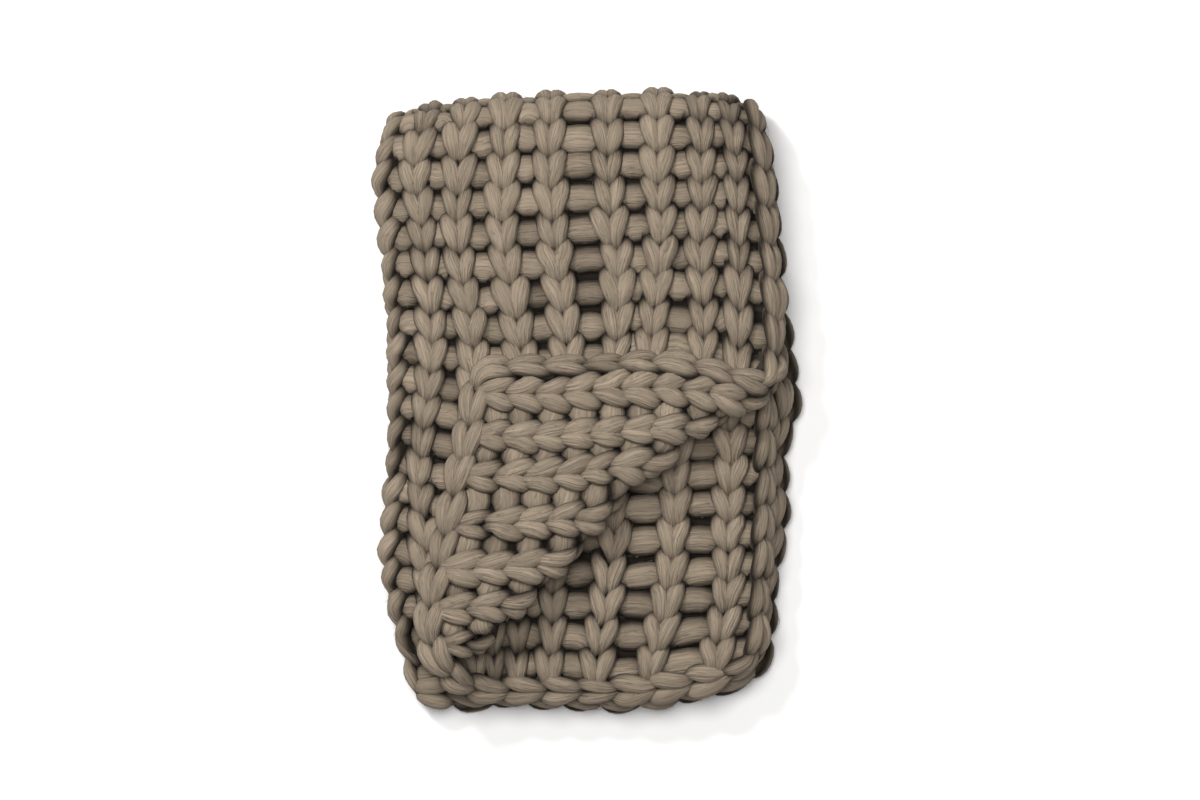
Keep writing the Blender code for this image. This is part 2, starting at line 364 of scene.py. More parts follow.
def smooth_lookup(stations, values, at):
    """Values read at places between the stations, along smooth curves."""
    stations = np.asarray(stations, float)
    values = np.asarray(values, float)
    slopes = np.gradient(values, stations, axis=0)
    at = np.clip(at, stations[0], stations[-1])
    low = np.clip(np.searchsorted(stations, at) - 1, 0, len(stations) - 2)
    step = stations[low + 1] - stations[low]
    part = (at - stations[low]) / step
    if values.ndim > 1:
        step = step[:, None]
        part = part[:, None]
    start = (1 + 2 * part) * (1 - part) ** 2 * values[low]
    start_slope = part * (1 - part) ** 2 * step * slopes[low]
    end = part**2 * (3 - 2 * part) * values[low + 1]
    end_slope = part**2 * (part - 1) * step * slopes[low + 1]
    return start + start_slope + end + end_slope


def side_fold_ribs():
    """The ribs' places across, with the side fold's ends half a rib before and after it."""
    places = []
    rows = []
    for rib, *across in RIBS:
        for place in (rib - 0.5, rib + 0.5) if rib == FOLD_RIB else (rib,):
            places.append(place)
            rows.append(across)
    return np.array(places, float), np.array(rows, float).T


def across_at(rib, y):
    """The place across the stack of a point of the cloth, from its rib and its place up it."""
    places, by_station = side_fold_ribs()
    crests = smooth_lookup(STATIONS, by_station, y)
    low = np.clip(np.searchsorted(places, rib) - 1, 0, len(places) - 2)
    part = (rib - places[low]) / (places[low + 1] - places[low])
    each = np.arange(len(rib))
    return crests[each, low] * (1 - part) + crests[each, low + 1] * part


def lower_shift(x, y):
    """The sideways shift of the lower layers at a point."""
    heights, left, right = np.array(LOWER_SHIFTS, float).T
    left_side = across_at(np.full(len(x), FOLD_RIB - 0.5), y)
    right_side = across_at(np.zeros(len(x)), y)
    share = np.clip((x - left_side) / (right_side - left_side), 0, 1)
    shift_left = smooth_lookup(heights, left, y)
    shift_right = smooth_lookup(heights, right, y)
    return shift_left * (1 - share) + shift_right * share


def up_stack(rib, row):
    """A row's place up the stack, before and after the top fold's bend is added to it."""
    places, fold_starts, upper_ends, lower_ends = np.array(RIB_ENDS, float).T
    fold_start = smooth_lookup(places, fold_starts, rib)
    upper_end = smooth_lookup(places, upper_ends, rib)
    lower_end = smooth_lookup(places, lower_ends, rib)
    turn = np.clip(rib - (FOLD_RIB - 0.5), 0, 1) * math.pi
    level = SIDE_FOLD_LEVEL + SIDE_FOLD_RADIUS * np.cos(turn)
    upper = np.clip(row / UPPER_ROWS, None, 1)
    lower = np.clip((row - UPPER_ROWS - TOP_FOLD_ROWS) / UPPER_ROWS, 0, None)
    bend = np.clip((row - UPPER_ROWS) / TOP_FOLD_ROWS, 0, 1) * math.pi
    straight = upper_end + (fold_start - upper_end) * upper
    straight += (lower_end - fold_start) * lower
    return straight, straight + level * np.sin(bend), level, turn, bend


def fold_twice(rib, row, height):
    """Lays points of the flat cloth into the four layers of the folded blanket."""
    straight, middle, level, turn, bend = up_stack(rib, row)
    level_out = level + height * np.cos(turn)
    y = straight + level_out * np.sin(bend)
    z = TOP_FOLD_Z + level_out * np.cos(bend)
    x = across_at(rib, middle)
    x += lower_shift(x, middle) * (0.5 - 0.5 * np.cos(bend))
    x -= (SIDE_FOLD_RADIUS + height) * np.sin(turn)
    return x, y, z


def past_crease(x, y):
    """How far a place lies past the crease, towards the corner that is turned back."""
    return (x - y) * DIAGONAL - CREASE_DISTANCE


def turn_corner(rib, x, y, z):
    """Bends the top layer's lower right corner over the crease, onto the stack."""
    past = past_crease(x, y)
    height = z - TOP_LAYER_Z
    on_top = (np.abs(height) < TOP_LAYER_REACH) & (rib < CORNER_LAST_RIB)
    moved = on_top & (past > 0)
    angle = np.clip(past / CREASE_RADIUS, 0, math.pi)
    beyond = np.clip(past - math.pi * CREASE_RADIUS, 0, None)
    reach = CREASE_RADIUS - height
    new_past = reach * np.sin(angle) - beyond
    new_z = TOP_LAYER_Z + CREASE_RADIUS - reach * np.cos(angle)
    slide = np.where(moved, new_past - past, 0) * DIAGONAL
    return x + slide, y - slide, np.where(moved, new_z, z), on_top


def pull_about(x, y, on_top):
    """Shifts the top layer and its corner as the real one has been pulled."""
    shift_x = np.zeros(len(x))
    shift_y = np.zeros(len(x))
    for centre_x, centre_y, reach, pull_x, pull_y in PULLS:
        distance = np.hypot(x - centre_x, y - centre_y) / reach
        weight = np.where(on_top, np.exp(-(distance**2)), 0)
        shift_x += pull_x * weight
        shift_y += pull_y * weight
    return x + shift_x, y + shift_y


def settle(rib, row, z):
    """Presses the stack a little lower towards its edges and folds."""
    from_edge = np.minimum(rib, 2 * FOLD_RIB - rib) + 0.5
    from_side = np.minimum(np.abs(rib - FOLD_RIB), from_edge)
    from_end = np.minimum(row, ROW_COUNT - row)
    nearest = np.minimum(from_side * RIB_PITCH, from_end * ROW_PITCH)
    part = np.clip(1 - nearest / EDGE_REACH, 0, 1)
    return z * (1 - EDGE_SETTLE * part**2)


def lay(rib, row, height):
    """Points of the flat cloth, laid in the finished stack in millimetres."""
    shape = np.shape(rib)
    rib = np.ravel(rib)
    row = np.ravel(np.broadcast_to(row, shape))
    height = np.ravel(np.broadcast_to(height, shape))
    x, y, z = fold_twice(rib, row, height)
    x, y, z, on_top = turn_corner(rib, x, y, z)
    x, y = pull_about(x, y, on_top & (row < UPPER_ROWS))
    z = settle(rib, row, z)
    points = np.column_stack((x - STACK_MIDDLE[0], y - STACK_MIDDLE[1], z))
    return points.reshape(shape + (3,))


def smooth_curves(keys, steps):
    """Smooth curves through rows of key points, with so many steps from key to key."""
    count, length, width = keys.shape
    before = 2 * keys[:, :1] - keys[:, 1:2]
    after = 2 * keys[:, -1:] - keys[:, -2:-1]
    padded = np.concatenate((before, keys, after), axis=1)
    p0, p1, p2, p3 = (padded[:, i : i + length - 1, None, :] for i in range(4))
    t = (np.arange(steps) / steps)[None, None, :, None]
    curve = 2 * p1 + (p2 - p0) * t + (2 * p0 - 5 * p1 + 4 * p2 - p3) * t**2
    curve = (curve + (3 * p1 - p0 - 3 * p2 + p3) * t**3) / 2
    curve = curve.reshape(count, (length - 1) * steps, width)
    return np.concatenate((curve, keys[:, -1:]), axis=1)


def unit(vectors):
    """The vectors' directions, at a length of one."""
    return vectors / (np.linalg.norm(vectors, axis=-1, keepdims=True) + 1e-9)


def sweep_yarn(points, normals, height, radius, sides, flatness, face, random):
    """Tubes along rows of points: vertices, faces, UV corners and each vertex's height for the
    painted shade.
    """
    count, length, _ = points.shape
    tangent = unit(np.gradient(points, axis=1))
    across = unit(np.cross(tangent, normals))
    upward = np.cross(across, tangent)
    turn = 2 * math.pi * (np.arange(sides) + 0.5) / sides
    radius = radius.copy()
    radius[:, (0, -1)] *= END_SHARE
    radius[:, (1, -2)] *= NEXT_TO_END_SHARE
    ring = across[:, :, None] * np.cos(turn)[:, None]
    ring = ring + upward[:, :, None] * (flatness * np.sin(turn))[:, None]
    verts = points[:, :, None] + ring * radius[:, :, None, None]
    # Each vertex's height off the cloth's middle, which sets how much painted shade it gets.
    shade_height = face * (height[:, :, None] + radius[:, :, None] * flatness * np.sin(turn))

    along = np.linalg.norm(np.diff(points, axis=1), axis=2)
    along = np.concatenate((np.zeros((count, 1)), np.cumsum(along, axis=1)), axis=1)
    along += random.uniform(0, PATTERN_START, (count, 1))

    index = np.arange(count * length * sides).reshape(count, length, sides)
    here = index[:, :-1]
    there = index[:, 1:]
    faces = np.stack((here, there, np.roll(there, -1, 2), np.roll(here, -1, 2)), axis=-1)
    uv = np.empty(faces.shape + (2,))
    around = np.arange(sides) / sides
    uv[..., 0, 0] = around
    uv[..., 1, 0] = around
    uv[..., 2, 0] = around + 1 / sides
    uv[..., 3, 0] = around + 1 / sides
    uv[..., (0, 3), 1] = along[:, :-1, None, None]
    uv[..., (1, 2), 1] = along[:, 1:, None, None]
    return verts.reshape(-1, 3), faces.reshape(-1, 4), uv.reshape(-1, 2), shade_height.ravel()


def join_tubes(tubes):
    """Several sets of tubes as one set."""
    start = 0
    all_faces = []
    for tube in tubes:
        all_faces.append(tube[1] + start)
        start += len(tube[0])
    verts, uv, shade_height = (np.concatenate([tube[i] for tube in tubes]) for i in (0, 2, 3))
    return verts, np.concatenate(all_faces), uv, shade_height


def seen_from_both(tube):
    """The same tubes, given as little painted shade on the cloth's back as on its face."""
    verts, faces, uv, shade_height = tube
    return verts, faces, uv, np.abs(shade_height) + BACK_SHADE_LIFT


def make_piece(name, tube, material):
    """A piece of the scene from a set of tubes, resting no lower than the surface."""
    verts, faces, uv, shade_height = tube
    verts = verts.copy()
    verts[:, 2] = np.maximum(verts[:, 2], LOWEST)
    mesh = bpy.data.meshes.new(name)
    mesh.from_pydata((verts * MM).tolist(), [], faces.tolist())
    layer = mesh.uv_layers.new(name="yarn")
    layer.data.foreach_set("uv", (uv * (1, MM)).astype(np.float32).ravel())
    # Each vertex's height for the painted shade, read by the wool's material.
    level = mesh.attributes.new("shade_height", "FLOAT", "POINT")
    level.data.foreach_set("value", shade_height.astype(np.float32))
    mesh.shade_smooth()
    mesh.materials.append(material)
    piece = bpy.data.objects.new(name, mesh)
    bpy.context.scene.collection.objects.link(piece)
    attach(piece, "root")
    return piece


def rib_gap(rib, row):
    """The distance across from each of these ribs to the next."""
    _, middle, _, _, _ = up_stack(rib, row)
    gap = across_at(rib, middle) - across_at(rib + 1, middle)
    fold = (rib < FOLD_RIB + 0.5) & (rib + 1 > FOLD_RIB - 0.5)
    gap = np.where(rib > FOLD_RIB, -gap, gap)
    return np.where(fold, np.abs(gap) + FOLD_GAP, np.maximum(gap, LEAST_GAP))


def jitter(random, keys, amounts):
    """Key points moved a little at random: each length of yarn as a whole, and each key."""
    count = keys.shape[0]
    for column, amount in enumerate(amounts):
        whole = random.normal(0, amount, (count, 1))
        each = random.normal(0, amount * KEY_JITTER_SHARE, keys.shape[:2])
        keys[:, :, column] += whole + each
    return keys


def leg_keys(ribs, rows, face, random):
    """Key points of whole knit stitches on these ribs and rows, on one face of the cloth."""
    left_gap = rib_gap(ribs, rows)
    right_gap = rib_gap(ribs - 1, rows)
    right_gap = np.where(ribs < 1, left_gap, right_gap)
    left_gap = np.where(ribs > LAST_RIB - 1, right_gap, left_gap)
    size = np.clip(np.minimum(left_gap, right_gap) / STITCH_ROOM, *STITCH_SIZES)
    size *= random.normal(1.0, LEG_SIZE_SPREAD, len(ribs))
    keys = []
    for side, gap, part in ((1, left_gap, LEG), (-1, right_gap, LEG[-2::-1])):
        for off, up, height, radius in part:
            place = ribs + side * off * size / gap
            keys.append((place, rows + up, face * height * size, radius * size))
    keys = np.moveaxis(np.array(keys), 2, 0)
    return jitter(random, keys, LEG_JITTER)


def between_keys(half, middle, ribs, rows, face, random):
    """Key points of strands that run from each of the given ribs to the next one."""
    gap = rib_gap(ribs, rows)
    size = np.clip(gap / STITCH_ROOM, NARROWEST_BAR, 1.0)
    left = np.where(ribs < FIRST_BAR_RIB, ribs - FIRST_BAR_REACH, ribs)
    right = np.clip(ribs + 1, EDGE_RIB, LAST_RIB - EDGE_RIB)
    share = (right - left) / np.maximum(gap, STITCH_ROOM)
    share = share * np.clip(gap / STITCH_ROOM, LEAST_SPREAD, 1.0)
    arch = np.clip((gap - NARROW_GAP) / (WIDE_GAP - NARROW_GAP), LEAST_ARCH, 1.0)
    middle_up, middle_height, middle_radius = middle
    keys = []
    for start, side, part in ((left, 1, half), (right, -1, half[::-1])):
        for off, up, height, radius in part:
            row = rows + middle_up + (up - middle_up) * arch
            level = np.full(len(ribs), face * height)
            keys.append((start + side * off * share, row, level, radius * size))
    level = np.full(len(ribs), face * middle_height)
    keys.insert(len(half), ((left + right) / 2, rows + middle_up, level, middle_radius * size))
    keys = np.moveaxis(np.array(keys), 2, 0)
    keys = jitter(random, keys, BETWEEN_JITTER)
    tilt = random.normal(0, BAR_TILT, (len(ribs), 1))
    keys[:, :, 1] += tilt * np.linspace(-1, 1, keys.shape[1])
    return keys


def yarn_from_keys(keys, tube, face, random, flatness=1.0, light=0.0, fold_rise=0.0):
    """Tubes laid in the stack from key points of rib, row, height and radius."""
    steps, sides = tube
    curve = smooth_curves(keys, steps)
    from_fold = (curve[..., 1] - UPPER_ROWS - TOP_FOLD_ROWS / 2) / FOLD_RISE_REACH
    curve[..., 2] += face * fold_rise * np.exp(-(from_fold**2))
    points = lay(curve[..., 0], curve[..., 1], curve[..., 2])
    normals = unit(lay(curve[..., 0], curve[..., 1], curve[..., 2] + 1.0) - points)
    radius = np.maximum(curve[..., 3], LEAST_RADIUS)
    # The height that sets the painted shade, raised by the given lift.
    height = curve[..., 2] + face * light
    return sweep_yarn(points, normals, height, radius, sides, flatness, face, random)


def past_of(ribs, rows):
    """How far places of the flat cloth lie past the crease once it is folded."""
    x, y, _ = fold_twice(ribs, rows, np.zeros(len(ribs)))
    return past_crease(x, y)


def stitch_grid(first_rib, last_rib, rows):
    """The rib and the row of each stitch, on whole steps from the first rib to the last."""
    ribs, levels = np.meshgrid(np.arange(first_rib, last_rib + 0.25), rows)
    return ribs.ravel(), levels.ravel()


def knit(ribs_of, rows, face, keep, tube, seed):
    """The legs, bumps and joining strands of part of a layer, as one set of tubes."""
    random = np.random.default_rng(seed)
    first_rib, last_rib = ribs_of
    ribs, levels = stitch_grid(first_rib, last_rib, rows)
    chosen = keep(ribs, levels + LEG_MIDDLE_ROW) > 0
    chosen &= clear_of_cut(ribs, levels, face)
    legs = leg_keys(ribs[chosen], levels[chosen], face, random)

    ribs, levels = stitch_grid(first_rib - 1, last_rib, rows)
    middle_rib = ribs + BETWEEN_MIDDLE
    chosen = (middle_rib > BETWEEN_INSET) & (middle_rib < LAST_RIB + BETWEEN_INSET)
    chosen &= clear_of_cut(ribs + BETWEEN_CUT_RIB, levels, face)
    chosen &= keep(middle_rib, levels + BETWEEN_MIDDLE) > BETWEEN_ROOM
    ribs = ribs[chosen]
    levels = levels[chosen]
    bars = between_keys(BAR, BAR_MIDDLE, ribs, levels, face, random)
    some = random.random(len(ribs)) < JOIN_SHARE
    joins = between_keys(JOIN, JOIN_MIDDLE, ribs[some], levels[some], face, random)
    return join_tubes([
        yarn_from_keys(legs, tube, face, random, fold_rise=LEG_FOLD_RISE),
        yarn_from_keys(bars, tube, face, random, BAR_FLATNESS, BAR_SHADE_LIFT, BAR_FOLD_RISE),
        yarn_from_keys(joins, JOIN_TUBE, face, random, JOIN_FLATNESS),
    ])


def edge_route():
    """The line just inside the cloth's edges, all the way round, with round corners."""
    left = EDGE_RIB * RIB_PITCH
    right = (LAST_RIB - EDGE_RIB) * RIB_PITCH
    low = EDGE_ROW * ROW_PITCH
    high = (ROW_COUNT - EDGE_ROW) * ROW_PITCH
    corners = ((left, low, 270), (left, high, 180), (right, high, 90), (right, low, 0))
    points = []
    for x, y, start in corners:
        middle_x = x + EDGE_CORNER * (1 if x == left else -1)
        middle_y = y + EDGE_CORNER * (1 if y == low else -1)
        for angle in np.radians(start - np.linspace(0, 90, CORNER_POINTS)):
            points.append((middle_x + EDGE_CORNER * math.cos(angle),
                           middle_y + EDGE_CORNER * math.sin(angle)))
    points.append(points[0])
    points = np.array(points)
    length = np.concatenate(([0], np.cumsum(np.hypot(*np.diff(points, axis=0).T))))
    at = np.arange(0, length[-1], EDGE_STEP)
    return np.column_stack([np.interp(at, length, points[:, i]) for i in (0, 1)])


def smooth_round(values, width):
    """Values of a closed line, averaged over so many neighbours on each side."""
    total = sum(np.roll(values, shift, axis=0) for shift in range(-width, width + 1))
    return total / (2 * width + 1)


def cut_short(values, first, last, bow, early=None):
    """Values of a line with one stretch replaced by a smooth curve that rises early."""
    t = np.linspace(0, 1, last - first + 1)[:, None]
    start = values[first]
    end = values[last]
    reach = np.linalg.norm(end - start) * bow
    start_slope = unit(values[first] - values[first - 2]) * reach
    end_slope = unit(values[last + 2] - values[last]) * reach
    curve = (1 + 2 * t) * (1 - t) ** 2 * start + t**2 * (3 - 2 * t) * end
    curve = curve + t * (1 - t) ** 2 * start_slope - t**2 * (1 - t) * end_slope
    if early:
        rise = np.clip(t[:, 0] / early, 0, 1)
        curve[:, 2] = start[2] + (end[2] - start[2]) * rise**2 * (3 - 2 * rise)
    values = values.copy()
    values[first : last + 1] = curve
    return values


def chain_course():
    """The closed line of the edge chain in the stack, point by point.

    Gives each point's place across the flat cloth, its share in the turned-back corner, its
    distance along the line, its place in the stack, and the directions there out of the
    cloth's face and out of its edge.
    """
    route = edge_route()
    outward = np.roll(route, -1, axis=0) - np.roll(route, 1, axis=0)
    outward = unit(np.column_stack((outward[:, 1], -outward[:, 0])) * -1.0)

    def laid(height, out):
        place = route + outward * out
        rib = place[:, 0] / RIB_PITCH
        row = place[:, 1] / ROW_PITCH
        return lay(rib, row, np.full(len(rib), height))

    rib = route[:, 0] / RIB_PITCH
    row = route[:, 1] / ROW_PITCH
    past = past_of(rib, row)
    in_top = (rib < CORNER_LAST_RIB) & (row < UPPER_ROWS)
    turned = in_top & (past > MID_CREASE)
    second = (rib > SECOND_LAYER_RIB) & (row < UPPER_ROWS + TOP_FOLD_ROWS / 2)
    face = np.where(turned | second, -1.0, 1.0)[:, None]
    by_tip = in_top & (rib < 1)
    at_crease = np.where(by_tip, np.exp(-(((past - MID_CREASE) / MID_CREASE) ** 2)), 0)
    at_crease = at_crease[:, None]
    on_flap = np.where(by_tip, np.clip((past - MID_CREASE) / FLAP_LINK_REACH, 0, 1), 0)
    inward = smooth_round(on_flap, FLAP_SMOOTHING)[:, None] * FLAP_LINK_SHIFT

    middle = smooth_round(laid(0.0, 0.0), LINE_SMOOTHING)
    normal = laid(HEIGHT_PROBE, 0.0) - laid(-HEIGHT_PROBE, 0.0)
    normal = unit(smooth_round(normal, LINE_SMOOTHING))
    up_at = face * normal * (1 - at_crease) + at_crease * (0, 0, 1)
    up_at = unit(smooth_round(up_at, LINE_SMOOTHING))
    out = unit(smooth_round(laid(0.0, OUT_PROBE) - laid(0.0, -OUT_PROBE), LINE_SMOOTHING))
    middle = middle - out * inward

    cut = np.flatnonzero((row < 1) & (rib > SHORT_CUT[0]) & (rib < SHORT_CUT[1]))
    first = cut[0]
    last = cut[-1]
    middle = cut_short(middle, first, last, CORNER_BOW, early=CORNER_RISE)
    at_fold = np.exp(-(((rib - FOLD_RIB) / FOLD_TUCK_REACH) ** 2)) * (row > ROW_COUNT - 1)
    middle = middle + at_fold[:, None] * FOLD_TUCK
    up_at = unit(cut_short(up_at, first, last, 0.0))
    out = unit(cut_short(out, first, last, 0.0))

    length = np.linalg.norm(np.roll(middle, -1, axis=0) - middle, axis=1)
    length = np.concatenate(([0], np.cumsum(length)))
    values = (route[:, 0], on_flap, middle, up_at, out)
    across, on_flap, middle, up_at, out = (np.concatenate((v, v[:1])) for v in values)
    return across, on_flap, length, middle, up_at, out


def edge_chain(tube, seed):
    """The chain of links along all of the cloth's edges, as one set of tubes."""
    random = np.random.default_rng(seed)
    steps, sides = tube
    across, on_flap, length, middle, up_at, out = chain_course()
    count = round(length[-1] / LINK_LENGTH)
    starts = length[-1] * np.arange(count) / count
    pitch = length[-1] / count
    rib = np.interp(starts + pitch / 2, length, across) / RIB_PITCH
    at_side = (rib < SIDE_REACH) | (rib > LAST_RIB - SIDE_REACH)
    roll = np.where(at_side, SIDE_ROLL, END_ROLL)
    flap_part = np.interp(starts + pitch / 2, length, on_flap)
    side_size = SIDE_LINK_SIZE + (FLAP_LINK_SIZE - SIDE_LINK_SIZE) * flap_part
    size = np.where(at_side, side_size, END_LINK_SIZE)
    size = size * random.normal(1.0, LINK_SIZE_SPREAD, count)

    keys = []
    for side, part in ((1, LINK), (-1, LINK[-2::-1])):
        for off, up, height, radius in part:
            keys.append((side * off * size, starts + up * pitch, height * size, radius * size))
    keys = np.moveaxis(np.array(keys), 2, 0)
    keys = jitter(random, keys, LINK_JITTER)
    curve = smooth_curves(keys, steps)
    at = np.mod(curve[..., 1], length[-1])

    def read(values):
        return np.stack([np.interp(at, length, values[:, i]) for i in range(3)], axis=-1)

    up_of = unit(read(up_at))
    out_of = unit(read(out))
    cosine = np.cos(roll)[:, None, None]
    sine = np.sin(roll)[:, None, None]
    side_of = out_of * cosine - up_of * sine
    up_of = up_of * cosine + out_of * sine
    points = read(middle) + side_of * curve[..., :1] + up_of * curve[..., 2:3]
    height = curve[..., 2]
    radius = np.maximum(curve[..., 3], LEAST_RADIUS)
    return seen_from_both(sweep_yarn(points, up_of, height, radius, sides, 1.0, 1.0, random))


def clear_of_cut(ribs, levels, face):
    """Whether the chain's short cut leaves room for stitches at the corner's end."""
    first = SHORT_CUT[0] + CUT_ROOM[0]
    last = SHORT_CUT[1] - CUT_ROOM[1]
    return (levels > 1) | (ribs < first) | (ribs > last) | (face > 0)


def everywhere(ribs, rows):
    """The room that stitches have in a layer without a crease."""
    return np.full(len(ribs), ALWAYS)


def before_crease(ribs, rows):
    """The room that the top layer's stitches have before the crease."""
    by_selvage = np.where(ribs < SELVAGE_RIB, SELVAGE_REACH, 0)
    by_end = np.where(ribs > END_RIB, END_ROOM, 0)
    return LAST_BEFORE_CREASE + by_selvage - by_end - past_of(ribs, rows)


def after_crease(ribs, rows):
    """The room that the turned-back corner's stitches have past the crease."""
    by_end = np.where(ribs > END_RIB, END_ROOM, 0)
    return past_of(ribs, rows) - by_end


def round_corners(rib, row):
    """Points of the flat cloth, drawn in from its corners to the round edge there."""
    x = (rib - LAST_RIB / 2) * RIB_PITCH
    y = (row - ROW_COUNT / 2) * ROW_PITCH
    wide = (LAST_RIB / 2 - EDGE_RIB) * RIB_PITCH - EDGE_CORNER
    high = (ROW_COUNT / 2 - EDGE_ROW) * ROW_PITCH - EDGE_CORNER
    beyond_x = np.abs(x) - wide
    beyond_y = np.abs(y) - high
    outside = (beyond_x > 0) & (beyond_y > 0)
    reach = np.maximum(np.hypot(beyond_x, beyond_y), 1e-6)
    part = np.where(outside, np.maximum(beyond_x, beyond_y) / reach, 1.0)
    x = np.where(outside, np.sign(x) * (wide + beyond_x * part), x)
    y = np.where(outside, np.sign(y) * (high + beyond_y * part), y)
    return x / RIB_PITCH + LAST_RIB / 2, y / ROW_PITCH + ROW_COUNT / 2


def build_fuzz(tubes, count, seed):
    """Fine stray fibres that stand a little off the yarn, as thin tubes."""
    random = np.random.default_rng(seed)
    verts, faces, _, shade_height = tubes
    level = shade_height[faces[:, 0]]
    open_faces = np.flatnonzero(level > FUZZ_LEVEL)
    chosen = faces[random.choice(open_faces, count)]
    corners = verts[chosen]
    middle = corners.mean(axis=1)
    along = unit(corners[:, 1] - corners[:, 0])
    across = unit(corners[:, 3] - corners[:, 0])
    outward = unit(np.cross(corners[:, 2] - corners[:, 0], corners[:, 3] - corners[:, 1]))
    heading = random.normal(0, FUZZ_HEADING, (count, 1))
    forward = unit(along * np.cos(heading) + across * np.sin(heading))
    length = random.uniform(*FUZZ_LENGTHS, (count, 1, 1))
    rise = random.uniform(*FUZZ_RISES, (count, 1, 1))
    bend = random.normal(0, FUZZ_BEND, (count, 1, 1))
    t = np.linspace(0, 1, FUZZ_POINTS)[None, :, None]
    points = middle[:, None] + forward[:, None] * length * t
    arch = rise * np.sin(math.pi * FUZZ_ARCH * t) - FUZZ_ROOT
    points = points + outward[:, None] * arch
    points = points + np.cross(forward, outward)[:, None] * length * bend * t**2
    normals = np.broadcast_to(outward[:, None], points.shape)
    radius = np.full(points.shape[:2], FUZZ_RADIUS)
    # Stray fibres stand high, so they get little painted shade.
    light = np.full(points.shape[:2], FUZZ_SHADE_HEIGHT)
    return sweep_yarn(points, normals, light, radius, FUZZ_SIDES, 1.0, 1.0, random)


def build_core(material):
    """The cloth's own inner sheet, which the stitches of both faces sit on."""
    fold_end = UPPER_ROWS + TOP_FOLD_ROWS
    ribs = np.linspace(EDGE_RIB, LAST_RIB - EDGE_RIB, CORE_POINTS["ribs"])
    rows = np.concatenate((np.linspace(EDGE_ROW, UPPER_ROWS, CORE_POINTS["upper"]),
                           np.linspace(UPPER_ROWS, fold_end, CORE_POINTS["fold"])[1:],
                           np.linspace(fold_end, ROW_COUNT - EDGE_ROW, CORE_POINTS["lower"])[1:]))
    rib, row = np.meshgrid(ribs, rows)
    rib, row = round_corners(rib, row)
    past = past_of(rib.ravel(), row.ravel()).reshape(rib.shape)
    corner = (rib < CORNER_LAST_RIB) & (row < UPPER_ROWS)
    from_side = np.clip((rib - CORE_TURN_RIB) / CORE_TURN_RIBS, 0, 1)
    from_side = from_side * np.clip((fold_end - row) / CORE_TURN_ROWS, 0, 1)
    from_crease = np.clip((past + CORE_TURN_REACH) / CORE_TURN_REACH, 0, 1)
    from_crease = np.where(corner, from_crease, 0)
    depth = -CORE_DEPTH + 2 * CORE_DEPTH * np.maximum(from_side, from_crease)
    count = rib.size
    index = np.arange(count).reshape(rib.shape)
    quads = np.stack((index[:-1, :-1], index[:-1, 1:], index[1:, 1:], index[1:, :-1]), axis=-1)
    quads = quads.reshape(-1, 4)
    top = lay(rib, row, depth + CORE_THICKNESS / 2).reshape(-1, 3)
    under = lay(rib, row, depth - CORE_THICKNESS / 2).reshape(-1, 3)
    border = list(index[0, :-1]) + list(index[:-1, -1]) + list(index[-1, :0:-1])
    border += list(index[:0:-1, 0])
    border = np.array(border)
    after = np.roll(border, -1)
    rim = np.stack((border, after, after + count, border + count), axis=-1)
    faces = np.concatenate((quads[:, ::-1], quads + count, rim))
    verts = np.concatenate((top, under))
    uv = np.zeros((len(faces) * 4, 2))
    uv[:, 0] = verts[faces.ravel(), 0] / CORE_UV_SIZE
    uv[:, 1] = verts[faces.ravel(), 1]
    return make_piece("cloth_core", (verts, faces, uv, np.zeros(len(verts))), material)


